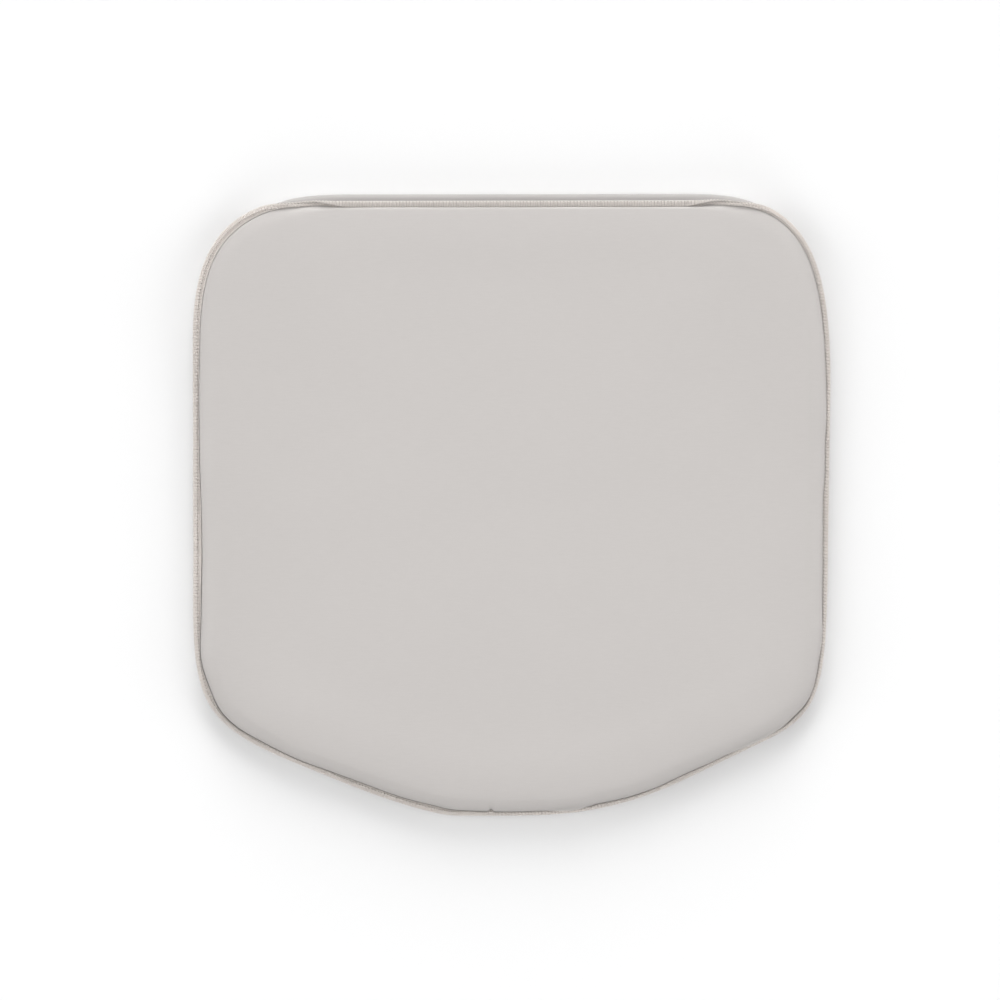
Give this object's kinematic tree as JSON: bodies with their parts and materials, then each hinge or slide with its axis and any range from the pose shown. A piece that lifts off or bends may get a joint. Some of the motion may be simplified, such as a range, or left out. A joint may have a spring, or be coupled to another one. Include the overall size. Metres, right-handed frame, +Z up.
{
  "type": "chair seat pad",
  "caption": "Thin foam-filled seat pad with rounded back corners, a shallow pointed front and an overlocked edge seam.",
  "frame": {"origin": "middle of the pad's plan, on the surface it lies on", "axes": "+X to the sitter's right, across the pad; +Y towards the back of the seat; +Z up"},
  "size_m": [0.41, 0.3998, 0.0169],
  "materials": {
    "face_cloth": "matt greige, fine even weave with faint slubs",
    "underside_cloth": "matt greige, the same fine even weave",
    "foam": "open-cell polyurethane foam",
    "seam_thread": "spun polyester thread, slightly warmer than the cloth"
  },
  "bodies": {
    "root": {"face_cover": "face_cloth", "underside_cover": "underside_cloth", "foam_core": "foam", "inner_needle_thread": "seam_thread", "outer_needle_thread": "seam_thread", "upper_looper_thread": "seam_thread", "lower_looper_thread": "seam_thread"}
  },
  "joints": []
}
